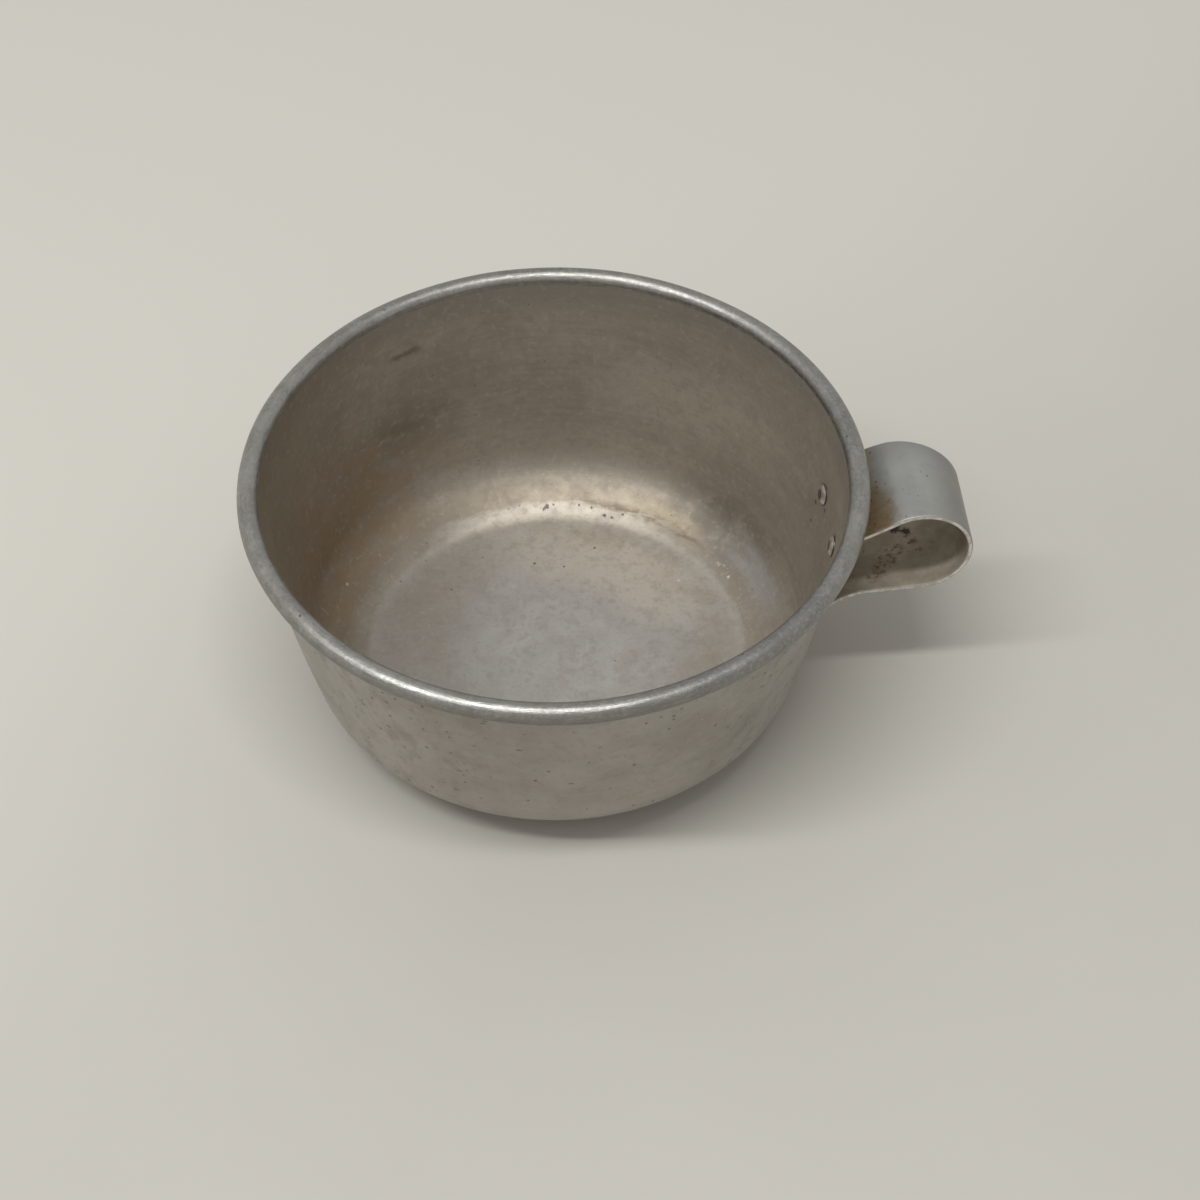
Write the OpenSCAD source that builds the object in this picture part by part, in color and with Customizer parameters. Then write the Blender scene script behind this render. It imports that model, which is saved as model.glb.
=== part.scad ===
// Handled aluminium bowl: a drawn bowl with a rolled rim, and a strap handle held by two rivets.
// Millimetres, +Z up. The origin is the middle of the flat underside, and the handle points along +X.

/* [Bowl] */
// Diameter over the rolled rim
rim_d = 130; // [115:1:150]
// Height from the table to the top of the rim
bowl_h = 57.5; // [50:0.5:75]
// Thickness of the bowl's sheet
bowl_t = 0.9; // [0.6:0.05:1.3]
// Diameter of the flat underside
base_d = 78; // [66:0.5:90]
// Outside radius of the bend at the edge of the underside
floor_bend_r = 10; // [3:0.5:13]
// Slope of the haunch, the gently curved ring round the underside, where it leaves that bend
haunch_low = 25; // [14:1:30]
// Slope of the haunch where it enters the corner under the wall
haunch_high = 38; // [32:1:50]
// Outside radius of the haunch
haunch_r = 35; // [20:1:50]
// Outside radius of the corner between haunch and wall
corner_r = 12.5; // [4:0.5:18]
// Radius of the wall's slight bulge between corner and rim
wall_bulge_r = 500; // [200:10:800]

/* [Rim] */
// Diameter of the rolled rim
bead_d = 4.3; // [3.4:0.1:5]
// How far the rolled rim stands proud of the wall's inside face
bead_proud = 0.1; // [0.1:0.05:0.8]
// Gap between the rolled-in edge and the wall
curl_gap = 0.3; // [0.2:0.05:0.5]

/* [Handle] */
// Width of the strap
strap_w = 23; // [16:0.5:28]
// Thickness of the strap
strap_t = 1.1; // [0.8:0.1:1.6]
// How far the loop reaches past the rim
loop_reach = 22.1; // [18:0.1:32]
// Outside radius of the loop
loop_r = 11.1; // [9:0.1:13]
// Height of the loop's centre above the rivets
loop_rise = 0.9; // [-2:0.1:4]
// Length of the riveted tab above the rivets, up to the heel's bend
tab_rise = 2.7; // [2.6:0.1:5]
// Length of the riveted tab below the rivets
tab_drop = 5.5; // [4:0.1:7]
// Bend radius at the heel, in the middle of the strap's thickness
heel_bend_r = 2; // [1.5:0.1:4]
// Bend radius at the toe, where the strap turns down onto the wall again, measured the same way
toe_bend_r = 11; // [5:0.5:12]
// Least length of the straight between loop and toe
toe_straight = 1; // [0.5:0.1:3]
// Depth below the rivets at which the tail starts to lie on the wall
tail_drop = 19.2; // [17:0.1:21]
// Length of the tail that lies on the wall
tail_len = 5; // [3:0.5:8]
// Corner radius at both ends of the strap
strap_corner_r = 3; // [1:0.5:5]

/* [Rivets] */
// Depth of the rivets below the top of the rim
rivet_drop = 19; // [16:0.5:24]
// Distance of each rivet from the strap's nearer edge
rivet_edge = 3.8; // [3:0.1:6]
// Diameter of a rivet's shank
rivet_d = 3; // [2:0.1:4]
// Diameter of a rivet's head, inside the bowl
rivet_head_d = 4.6; // [4.2:0.1:6]
// Height of a rivet's head
rivet_head_h = 0.9; // [0.5:0.1:1.5]
// Diameter of a rivet's hammered end, on the strap
rivet_tail_d = 5; // [4.4:0.1:6]
// Height of a rivet's hammered end
rivet_tail_h = 1.1; // [0.5:0.1:1.6]

/* [Clearances] */
// Gap between the strap and the wall that it lies on
seat_gap = 0.05; // [0.03:0.01:0.1]
// Gap under a rivet's head and its hammered end, for the curve of the sheet
head_gap = 0.06; // [0.05:0.01:0.1]
// Radial gap between a rivet's shank and its holes
shank_gap = 0.05; // [0.02:0.01:0.1]

/* [Hidden] */
$fn = 96;

// Fineness of the wall's long arc
bulge_fn = 720;
// Steps along the strap's bends and straights, and across its width
heel_steps = 6;
loop_steps = 30;
toe_steps = 10;
ease_steps = 5;
end_steps = 5;
cross_steps = 8;
// Overlap of a cutter past the sheet that it cuts
cut_over = 5;

// Rim: centre of the rolled bead's section
bead_r = bead_d / 2;
bead_c = [rim_d / 2 - bead_r, bowl_h - bead_r];

// Lower body: centres of the floor's bend, the haunch and the corner, each arc tangent to the next
function square_to(slope) = [sin(slope), -cos(slope)];
floor_bend_c = [base_d / 2, floor_bend_r];
haunch_c = floor_bend_c - (haunch_r - floor_bend_r) * square_to(haunch_low);
corner_c = haunch_c + (haunch_r - corner_r) * square_to(haunch_high);

// Wall: one long arc, tangent to the corner and running up into the bead
to_bead = bead_c - corner_c;
span = norm(to_bead);
span_dir = to_bead / span;
arc_to_corner = wall_bulge_r - corner_r;
arc_to_bead = wall_bulge_r - bowl_t + bead_r - bead_proud;
along = (arc_to_corner ^ 2 - arc_to_bead ^ 2 + span ^ 2) / (2 * span);
across = sqrt(arc_to_corner ^ 2 - along ^ 2);
wall_c = corner_c + along * span_dir + across * [-span_dir.y, span_dir.x];
corner_angle = asin((wall_c.y - corner_c.y) / arc_to_corner);

// Direction of an angle, heading of a vector, and the wall's slope and outer point at a height
function dir(angle) = [cos(angle), sin(angle)];
function heading(v) = atan2(v.y, v.x);
function wall_slope(z) = asin((wall_c.y - z) / wall_bulge_r);
function wall_point(z, out = 0) = wall_c + (wall_bulge_r + out) * dir(-wall_slope(z));

// Rivets: height, spacing, and angle either side of the handle's middle
rivet_z = bowl_h - rivet_drop;
rivet_spacing = strap_w - 2 * rivet_edge;
rivet_angle = asin(rivet_spacing / 2 / wall_point(rivet_z).x);

// Strap: its middle line by radius and height, from the tab's end round the loop to the tail's end
seat = seat_gap + strap_t / 2;
tab_c = wall_point(rivet_z, seat);
tab_heading = 90 - wall_slope(rivet_z);
tab_end = tab_c - tab_drop * dir(tab_heading);
heel_c = tab_c + tab_rise * dir(tab_heading) + heel_bend_r * dir(tab_heading - 90);
tail_z = rivet_z - tail_drop - tail_len / 2;
tail_c = wall_point(tail_z, seat);
tail_heading = -90 - wall_slope(tail_z);
tail_end = tail_c + tail_len / 2 * dir(tail_heading);
toe_c = tail_c - tail_len / 2 * dir(tail_heading) + toe_bend_r * dir(tail_heading + 90);
loop_mid_r = loop_r - strap_t / 2;
loop_z = rivet_z + loop_rise;

// The loop stands out past the rim, and far enough past the toe for the straight between them
toe_apart = norm([loop_mid_r + toe_bend_r, toe_straight]);
past_toe = sqrt(max(0, toe_apart ^ 2 - (loop_z - toe_c.y) ^ 2));
loop_c = [max(rim_d / 2 + loop_reach - loop_r, toe_c.x + past_toe), loop_z];

// Headings of the straights that run from heel to loop and from loop to toe
heel_heading = heading(loop_c - heel_c) + asin((loop_mid_r - heel_bend_r) / norm(loop_c - heel_c));
toe_heading = heading(toe_c - loop_c) - asin((loop_mid_r + toe_bend_r) / norm(toe_c - loop_c));

// How closely the strap still follows the wall's curve where it leaves the heel and enters the toe
heel_hug = 0.75;
toe_hug = 0.4;

// A station on the strap holds its point, its heading, how closely it hugs the wall's curve, and its width
function station(point, angle, hug = 1, width = strap_w) = [point, angle, hug, width];
function ease(t) = t * t * (3 - 2 * t);

// Stations round an arc, turning from one heading to another, with hug eased between two values
function arc(centre, r, from, to, steps, hug0, hug1) =
    [for (i = [0:steps])
        let(t = i / steps)
        let(angle = from + (to - from) * t)
        let(side = sign(to - from))
        station(centre - side * r * dir(angle + 90), angle, hug0 + (hug1 - hug0) * ease(t))];

// Stations on the straight between two arcs, without its ends
function straight(a, b) =
    [for (i = [1:ease_steps - 1])
        let(t = i / ease_steps)
        station(a[0] + t * (b[0] - a[0]), b[1], a[2] + (b[2] - a[2]) * ease(t))];

// Stations at a rounded end of the strap, from its tip to full width
function tip_width(s) = strap_w - 2 * strap_corner_r * (1 - sqrt(1 - (1 - s) ^ 2));
function tip(point, angle, inward) =
    [for (i = [0:end_steps])
        let(s = 1 - cos(90 * i / end_steps))
        station(point + s * strap_corner_r * dir(inward), angle, 1, tip_width(s))];
function reversed(list) = [for (i = [len(list) - 1:-1:0]) list[i]];

heel_arc = arc(heel_c, heel_bend_r, tab_heading, heel_heading, heel_steps, 1, heel_hug);
loop_arc = arc(loop_c, loop_mid_r, heel_heading, toe_heading, loop_steps, 0, 0);
toe_arc = arc(toe_c, toe_bend_r, toe_heading, tail_heading, toe_steps, toe_hug, 1);
strap_path = concat(
    tip(tab_end, tab_heading, tab_heading),
    heel_arc,
    straight(heel_arc[heel_steps], loop_arc[0]),
    loop_arc,
    straight(loop_arc[loop_steps], toe_arc[0]),
    toe_arc,
    reversed(tip(tail_end, tail_heading, tail_heading + 180)));

// Point of the strap, v across its width, curved about the bowl's axis as far as it hugs the wall
function hugged(p, v, hug) = [p.x - hug * (p.x - sqrt(p.x ^ 2 - v ^ 2)), v, p.y];
function strap_ring(s) =
    let(off = strap_t / 2 * dir(s[1] + 90))
    let(vs = [for (j = [0:cross_steps]) s[3] * (j / cross_steps - 0.5)])
    concat(
        [for (v = vs) hugged(s[0] + off, v, s[2])],
        [for (v = reversed(vs)) hugged(s[0] - off, v, s[2])]);

// Closed skin through a list of equal rings
module skin(rings) {
    n = len(rings[0]);
    last = (len(rings) - 1) * n;
    half = n / 2;
    sides = [for (i = [0:len(rings) - 2], j = [0:n - 1])
        let(a = i * n + j)
        let(b = i * n + (j + 1) % n)
        each [[a, b, a + n], [b, b + n, a + n]]];
    first_cap = [for (j = [0:half - 2])
        each [[j, n - 1 - j, j + 1], [j + 1, n - 1 - j, n - 2 - j]]];
    last_cap = [for (f = first_cap) [f[0] + last, f[2] + last, f[1] + last]];
    polyhedron([for (r = rings) each r], concat(sides, first_cap, last_cap), convexity = 6);
}

// Puts its children on a rivet's axis, with z = 0 on the wall's outside face and +Z pointing outwards
module at_rivet(side) {
    at = wall_point(rivet_z);
    rotate([0, 0, side * rivet_angle])
        translate([at.x, 0, at.y])
            rotate([0, 90 + wall_slope(rivet_z), 0])
                children();
}

module rivet_hole(side) {
    at_rivet(side)
        cylinder(d = rivet_d + 2 * shank_gap, h = 2 * cut_over, center = true);
}

// Round cap of a sphere, standing on z = 0
module cap(d, h) {
    ball_r = (h ^ 2 + (d / 2) ^ 2) / (2 * h);
    intersection() {
        translate([0, 0, h - ball_r])
            sphere(r = ball_r);
        cylinder(d = d + h, h = h + cut_over);
    }
}

module rivet(side) {
    in_z = -bowl_t - head_gap;
    out_z = seat_gap + strap_t + head_gap;
    at_rivet(side) {
        translate([0, 0, in_z])
            cylinder(d = rivet_d, h = out_z - in_z);
        translate([0, 0, in_z])
            mirror([0, 0, 1])
                cap(rivet_head_d, rivet_head_h);
        translate([0, 0, out_z])
            cap(rivet_tail_d, rivet_tail_h);
    }
}

// Section of everything inside the bowl's outer face, drawn in by inset
module bowl_section(inset) {
    tangent_z = corner_c.y - (corner_r - inset) * sin(corner_angle);
    intersection() {
        translate(wall_c)
            circle(r = wall_bulge_r - inset, $fn = bulge_fn);
        translate([0, tangent_z])
            square([rim_d / 2, bead_c.y - tangent_z]);
    }
    translate(corner_c)
        circle(r = corner_r - inset);
    intersection() {
        reach = 2 * haunch_r;
        translate(haunch_c)
            circle(r = haunch_r - inset);
        polygon([
            haunch_c,
            haunch_c + reach * square_to(haunch_low),
            haunch_c + reach * square_to(haunch_high)]);
    }
    translate(floor_bend_c)
        circle(r = floor_bend_r - inset);
    polygon([
        [0, inset], [base_d / 2, inset], floor_bend_c, corner_c,
        [corner_c.x, haunch_c.y], [0, haunch_c.y]]);
}

// Slot under the rim between the rolled-in edge and the wall
module curl_slot() {
    difference() {
        intersection() {
            translate(wall_c)
                circle(r = wall_bulge_r + curl_gap, $fn = bulge_fn);
            translate([0, bead_c.y - bead_d])
                square([rim_d / 2, bead_d]);
        }
        translate(wall_c)
            circle(r = wall_bulge_r, $fn = bulge_fn);
    }
}

module bowl() {
    color("#b4b1aa")
        difference() {
            rotate_extrude()
                difference() {
                    union() {
                        difference() {
                            bowl_section(0);
                            bowl_section(bowl_t);
                        }
                        translate(bead_c)
                            circle(r = bead_r);
                    }
                    translate(bead_c)
                        circle(r = bead_r - bowl_t);
                    curl_slot();
                }
            for (side = [-1, 1])
                rivet_hole(side);
        }
}

module handle_strap() {
    color("#a9adb1")
        difference() {
            skin([for (s = strap_path) strap_ring(s)]);
            for (side = [-1, 1])
                rivet_hole(side);
        }
}

module rivet_front() {
    color("#c2bdb2")
        rivet(-1);
}

module rivet_rear() {
    color("#c2bdb2")
        rivet(1);
}

bowl();
handle_strap();
rivet_front();
rivet_rear();
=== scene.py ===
# %% [markdown]
# # A handled aluminium bowl
# The real object is a small piece of camp ware: a drawn aluminium bowl with a rolled rim, a bent
# strap for one finger, and two rivets. The frame loaded below holds these pieces at their true
# size. This lesson gives each piece a finer mesh and a worn metal finish, and then lights them.
# Blender works in metres, so every size below is written in millimetres and multiplied by MM.

# %% Load the frame
import math

import bpy
from mathutils import Matrix, Vector


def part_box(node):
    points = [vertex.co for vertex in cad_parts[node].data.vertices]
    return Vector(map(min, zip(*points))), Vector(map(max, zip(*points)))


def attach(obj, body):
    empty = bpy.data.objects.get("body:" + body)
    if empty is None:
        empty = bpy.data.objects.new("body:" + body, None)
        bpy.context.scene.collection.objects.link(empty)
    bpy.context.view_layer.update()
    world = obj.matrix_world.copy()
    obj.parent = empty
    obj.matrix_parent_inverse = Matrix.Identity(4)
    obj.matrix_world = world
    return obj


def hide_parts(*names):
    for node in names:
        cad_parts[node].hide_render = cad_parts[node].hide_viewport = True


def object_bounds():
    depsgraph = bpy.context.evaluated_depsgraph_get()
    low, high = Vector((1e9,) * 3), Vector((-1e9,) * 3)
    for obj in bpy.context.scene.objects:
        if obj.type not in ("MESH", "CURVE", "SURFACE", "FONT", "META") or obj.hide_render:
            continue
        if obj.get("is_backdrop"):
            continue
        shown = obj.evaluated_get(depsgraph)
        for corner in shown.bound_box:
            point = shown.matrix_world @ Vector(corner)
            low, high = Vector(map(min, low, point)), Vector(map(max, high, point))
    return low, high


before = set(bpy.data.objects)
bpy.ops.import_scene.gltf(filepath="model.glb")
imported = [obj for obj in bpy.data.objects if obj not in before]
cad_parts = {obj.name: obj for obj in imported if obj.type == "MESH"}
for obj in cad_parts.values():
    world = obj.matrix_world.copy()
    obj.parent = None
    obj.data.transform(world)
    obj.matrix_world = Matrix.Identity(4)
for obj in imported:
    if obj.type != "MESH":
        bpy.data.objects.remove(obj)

MM = 0.001
cad_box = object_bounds()
print("pieces in the frame:", sorted(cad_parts))
print("size in mm:", [round((high - low) / MM, 1) for low, high in zip(*cad_box)])

# %% [markdown]
# ## Camera
# The photograph looks down on the front of the bowl, with the handle to the right.
# A camera can be aimed with a Track To constraint, but turning it in three plain steps is easier
# to read: roll about its own line of sight, tilt up from straight down, then pan about the table's
# upright. The matrices are multiplied in the reverse of the order in which the turns happen.

# %% Place the camera
STAND_POINT = Vector((-14.2, -341.8, 398.9)) * MM
TILT_DOWN = math.radians(48.14)
PAN_RIGHT = math.radians(3.99)
ROLL = math.radians(0.31)
FOCAL_LENGTH = 70.5
NEAREST_SHOWN = 10 * MM


def add_object(name, data):
    """A new object in the scene, at the origin."""
    made = bpy.data.objects.new(name, data)
    bpy.context.scene.collection.objects.link(made)
    return made


camera = add_object("camera", bpy.data.cameras.new("camera"))
camera.data.lens = FOCAL_LENGTH
camera.data.clip_start = NEAREST_SHOWN
aim = Matrix.Rotation(math.radians(90) - TILT_DOWN, 4, "X")
pan = Matrix.Rotation(-PAN_RIGHT, 4, "Z")
camera.matrix_world = Matrix.Translation(STAND_POINT) @ pan @ aim @ Matrix.Rotation(ROLL, 4, "Z")
bpy.context.scene.camera = camera
print("camera stands", round(STAND_POINT.length / MM), "mm from the middle of the base")

# %% [markdown]
# ## Nodes as arithmetic
# Shaders and geometry trees are both graphs of nodes. Adding every Math node by hand makes long
# scripts, so two small classes do it. A Wire is one output socket, and arithmetic on it adds the
# Math node that does the sum. A Graph adds any other node from its type, its settings, which are
# set first because they decide which sockets exist, and the values or links of its sockets.

# %% Wires and graphs
class Wire:
    """One output socket of a graph, which takes part in arithmetic."""

    def __init__(self, graph, socket):
        self.graph = graph
        self.socket = socket

    def __add__(self, other):
        return self.graph.math("ADD", self, other)

    __radd__ = __add__

    def __sub__(self, other):
        return self.graph.math("SUBTRACT", self, other)

    def __rsub__(self, other):
        return self.graph.math("SUBTRACT", other, self)

    def __mul__(self, other):
        return self.graph.math("MULTIPLY", self, other)

    __rmul__ = __mul__

    def __truediv__(self, other):
        return self.graph.math("DIVIDE", self, other)


class Graph:
    """A node tree under construction."""

    def __init__(self, tree):
        self.tree = tree

    def node(self, kind, settings=None, inputs=None, out=0):
        """Adds a node and returns one of its outputs, by number or by name."""
        made = self.tree.nodes.new(kind)
        for label, value in (settings or {}).items():
            setattr(made, label, value)
        for label, value in (inputs or {}).items():
            self.plug(made, label, value)
        live = [socket for socket in made.outputs if socket.enabled]
        return Wire(self, live[out] if isinstance(out, int) else made.outputs[out])

    def plug(self, made, label, value):
        """Sets or links one input, given by number or by name."""
        live = [socket for socket in made.inputs if socket.enabled]
        if isinstance(label, int):
            socket = live[label]
        else:
            socket = next(s for s in live if s.name == label)
        if isinstance(value, Wire):
            self.tree.links.new(value.socket, socket)
        else:
            socket.default_value = value

    def math(self, operation, *values):
        """A Math node, for numbers."""
        return self.node("ShaderNodeMath", {"operation": operation}, dict(enumerate(values)))

    def either(self, mask, other):
        """The larger of two masks."""
        return self.math("MAXIMUM", mask, other)

    def vector(self, operation, *values, out=0):
        """A Vector Math node, for positions and directions."""
        return self.node("ShaderNodeVectorMath", {"operation": operation}, dict(enumerate(values)), out)

    def parts(self, vector):
        """The x, y and z of a vector."""
        made = self.node("ShaderNodeSeparateXYZ", inputs={0: vector}).socket.node
        return [Wire(self, socket) for socket in made.outputs]

    def join(self, x, y, z):
        """A vector from its x, y and z."""
        return self.node("ShaderNodeCombineXYZ", inputs={0: x, 1: y, 2: z})

    def ease(self, value, low, high):
        """0 below low, 1 above high, and a smooth step between. High may be the smaller one."""
        limits = {"Value": value, "From Min": low, "From Max": high}
        return self.node("ShaderNodeMapRange", {"interpolation_type": "SMOOTHSTEP"}, limits)

    def noise(self, vector, size, detail, rough=0.5):
        """Cloudy noise between 0 and 1 whose lumps are about this size."""
        values = {"Vector": vector, "Scale": 1 / size, "Detail": detail, "Roughness": rough}
        return self.node("ShaderNodeTexNoise", {"noise_dimensions": "3D"}, values)

    def blend(self, amount, below, above):
        """Mixes two colours: below where amount is 0, above where it is 1."""
        colours = {"Factor": amount, "A": below, "B": above}
        return self.node("ShaderNodeMix", {"data_type": "RGBA"}, colours)


print("graph tools ready")

# %% [markdown]
# ## Running a geometry tree
# A Geometry Nodes modifier turns a seed mesh into a finished one. The export keeps plain meshes
# only, so grow() runs the tree once and copies its result to a new mesh with no modifier. Inputs
# belong to a modifier by the socket's identifier, not by its name, so the names are looked up.

# %% Seeds, trees and plain meshes
SHARP_EDGE = math.radians(38)


class Shape(Graph):
    """A geometry tree under construction."""

    def carried(self, label):
        """A number that each point of the mesh carries under this name."""
        return self.node("GeometryNodeInputNamedAttribute", {"data_type": "FLOAT"}, {"Name": label})

    def move(self, geometry, how, vector):
        """Moves a geometry's points to a Position or by an Offset."""
        return self.node("GeometryNodeSetPosition", inputs={"Geometry": geometry, how: vector})


def new_tree(name, **inputs):
    """An empty geometry tree with named inputs, and wires from each of them."""
    tree = bpy.data.node_groups.new(name, "GeometryNodeTree")
    face = tree.interface
    face.new_socket("Geometry", in_out="INPUT", socket_type="NodeSocketGeometry")
    for label, kind in inputs.items():
        face.new_socket(label, in_out="INPUT", socket_type="NodeSocket" + kind)
    face.new_socket("Geometry", in_out="OUTPUT", socket_type="NodeSocketGeometry")
    graph = Shape(tree)
    source = tree.nodes.new("NodeGroupInput")
    wires = {socket.name: Wire(graph, socket) for socket in source.outputs if socket.name}
    return graph, wires


def end_tree(graph, geometry, material):
    """Smooths all but sharp edges, makes instances real, sets the material and ends the tree."""
    angle = graph.node("GeometryNodeInputMeshEdgeAngle")
    soft = graph.node("FunctionNodeCompare", {"operation": "LESS_THAN"}, {"A": angle, "B": SHARP_EDGE})
    real = graph.node("GeometryNodeRealizeInstances", inputs={"Geometry": geometry})
    shade = {"Geometry": real, "Shade Smooth": soft}
    smooth = graph.node("GeometryNodeSetShadeSmooth", {"domain": "EDGE"}, shade)
    dressed = graph.node("GeometryNodeSetMaterial", inputs={"Geometry": smooth, "Material": material})
    graph.plug(graph.tree.nodes.new("NodeGroupOutput"), "Geometry", dressed)


def seed_line(name, points, closed=False, **attributes):
    """A mesh of points joined in a row, with one number per point for each attribute."""
    edges = [(i, i + 1) for i in range(len(points) - 1)]
    if closed:
        edges.append((len(points) - 1, 0))
    mesh = bpy.data.meshes.new(name)
    mesh.from_pydata(points, edges, [])
    for label, values in attributes.items():
        mesh.attributes.new(label, "FLOAT", "POINT").data.foreach_set("value", values)
    return mesh


def grow(name, seed, graph, **values):
    """Runs a tree on a seed mesh and keeps the result as a plain mesh object."""
    holder = add_object(name + "_seed", seed)
    modifier = holder.modifiers.new("grow", "NODES")
    modifier.node_group = graph.tree
    for item in graph.tree.interface.items_tree:
        if item.in_out == "INPUT" and item.name in values:
            modifier[item.identifier] = values[item.name]
    grown = holder.evaluated_get(bpy.context.evaluated_depsgraph_get())
    mesh = bpy.data.meshes.new_from_object(grown)
    bpy.data.objects.remove(holder)
    print(name, "has", len(mesh.vertices), "points and", len(mesh.polygons), "faces")
    return add_object(name, mesh)


print("tree tools ready")

# %% [markdown]
# ## The bowl's section
# A drawn bowl is the same all the way round, so its shape is one line: the section of the sheet
# from the axis inside, up the wall, over the rolled rim, and back down outside to the axis. Each
# stretch is straight or an arc of a circle. The floor ends in a soft bend, then a broad sloping
# haunch carries the bowl out to the corner under the wall. The rim's sheet is rolled outwards until
# its edge nearly touches the wall again, which leaves a hollow roll with a thin slot under it. The
# long wall bulges slightly: its circle is found by meeting the corner's circle and the rim's.

# %% Measure the bowl from the frame
bowl_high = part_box("bowl")[1]
RIM_RADIUS = bowl_high.x
BOWL_HEIGHT = bowl_high.z
SHEET = 0.9 * MM
BASE_RADIUS = 39 * MM
FLOOR_BEND = 10 * MM
HAUNCH_RADIUS = 35 * MM
HAUNCH_LOW = math.radians(25)
HAUNCH_HIGH = math.radians(38)
CORNER_RADIUS = 12.5 * MM
BULGE_RADIUS = 500 * MM
ROLL_RADIUS = 2.15 * MM
ROLL_PROUD = 0.1 * MM
ROLL_SLOT = 0.3 * MM
DOWN = math.radians(-90)


def heading(angle):
    """The direction at an angle, one unit long."""
    return Vector((math.cos(angle), math.sin(angle)))


def meet(centre_a, radius_a, centre_b, radius_b, side=1):
    """A point where two circles meet, to the left of the line from a to b, or right with side -1."""
    line = centre_b - centre_a
    gap = line.length
    forward = (radius_a ** 2 - radius_b ** 2 + gap ** 2) / (2 * gap)
    sideways = math.sqrt(radius_a ** 2 - forward ** 2)
    ahead = line / gap
    return centre_a + forward * ahead + side * sideways * Vector((-ahead.y, ahead.x))


roll_centre = Vector((RIM_RADIUS - ROLL_RADIUS, BOWL_HEIGHT - ROLL_RADIUS))
bend_centre = Vector((BASE_RADIUS, FLOOR_BEND))
haunch_centre = bend_centre - (HAUNCH_RADIUS - FLOOR_BEND) * heading(DOWN + HAUNCH_LOW)
corner_centre = haunch_centre + (HAUNCH_RADIUS - CORNER_RADIUS) * heading(DOWN + HAUNCH_HIGH)
bulge_centre = meet(
    corner_centre, BULGE_RADIUS - CORNER_RADIUS,
    roll_centre, BULGE_RADIUS - SHEET + ROLL_RADIUS - ROLL_PROUD)
print("middle of the wall's bulge, mm:", [round(v / MM, 1) for v in bulge_centre])

# %% Draw the section
def arc(centre, radius, start, stop, steps):
    """Points on a circle from one angle to another."""
    turn = (stop - start) / steps
    return [centre + radius * heading(start + turn * i) for i in range(steps + 1)]


def straight(start, stop, steps):
    """Points in even steps from one point to another."""
    return [start.lerp(stop, i / steps) for i in range(steps + 1)]


def angle_of(point, centre):
    """The direction from a centre to a point."""
    return math.atan2(point.y - centre.y, point.x - centre.x)


corner_end = angle_of(corner_centre, bulge_centre)
crease = meet(bulge_centre, BULGE_RADIUS - SHEET, roll_centre, ROLL_RADIUS, side=-1)
lip = meet(bulge_centre, BULGE_RADIUS + ROLL_SLOT, roll_centre, ROLL_RADIUS, side=-1)
ROLL_HOLLOW = ROLL_RADIUS - SHEET
hollow_lip = meet(bulge_centre, BULGE_RADIUS + ROLL_SLOT, roll_centre, ROLL_HOLLOW, side=-1)
hollow_wall = meet(bulge_centre, BULGE_RADIUS, roll_centre, ROLL_HOLLOW, side=-1)
FULL_TURN = math.tau


def lower_body(depth):
    """The bend, haunch and corner from the floor up, at a depth into the sheet from outside."""
    bend = arc(bend_centre, FLOOR_BEND - depth, DOWN, DOWN + HAUNCH_LOW, steps=8)
    haunch = arc(haunch_centre, HAUNCH_RADIUS - depth, DOWN + HAUNCH_LOW, DOWN + HAUNCH_HIGH, steps=16)
    corner = arc(corner_centre, CORNER_RADIUS - depth, DOWN + HAUNCH_HIGH, corner_end, steps=14)
    return bend + haunch[1:] + corner[1:]


floor_line = straight(Vector((0, SHEET)), Vector((BASE_RADIUS, SHEET)), steps=20)
inner_turn = lower_body(SHEET)
inner_wall = arc(bulge_centre, BULGE_RADIUS - SHEET, corner_end, angle_of(crease, bulge_centre), steps=36)
roll = arc(roll_centre, ROLL_RADIUS, angle_of(crease, roll_centre) + FULL_TURN,
           angle_of(lip, roll_centre), steps=44)
hollow = arc(roll_centre, ROLL_HOLLOW, angle_of(hollow_lip, roll_centre),
             angle_of(hollow_wall, roll_centre) + FULL_TURN, steps=18)
outer_wall = arc(bulge_centre, BULGE_RADIUS, angle_of(hollow_wall, bulge_centre), corner_end, steps=40)
outer_turn = lower_body(0)[::-1]
underside = straight(Vector((BASE_RADIUS, 0)), Vector((0, 0)), steps=12)
print("wall leans out by", round(-math.degrees(corner_end), 1), "degrees at its foot")

# %% Join the stretches, each marked as inside or not and as rim or not
STRETCHES = (
    ("floor", floor_line, 1, 0),
    ("inner_turn", inner_turn[1:], 1, 0),
    ("inner_wall", inner_wall[1:], 1, 0),
    ("roll", roll[1:], 0, 1),
    ("hollow", hollow, 0, 1),
    ("outer_wall", outer_wall[1:], 0, 0),
    ("outer_turn", outer_turn[1:], 0, 0),
    ("underside", underside[1:], 0, 0))
section = []
inside = []
rim = []
first_point = {}
for name, line, is_inside, is_rim in STRETCHES:
    first_point[name] = len(section)
    section += line
    inside += [is_inside] * len(line)
    rim += [is_rim] * len(line)
along = [0.0]
for before, after in zip(section, section[1:]):
    along.append(along[-1] + (after - before).length)
start_of = {name: along[i] for name, i in first_point.items()}
print("section has", len(section), "points and is", round(along[-1] / MM, 1), "mm long")
print("stretches start at, mm:", {name: round(start / MM, 1) for name, start in start_of.items()})

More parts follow.
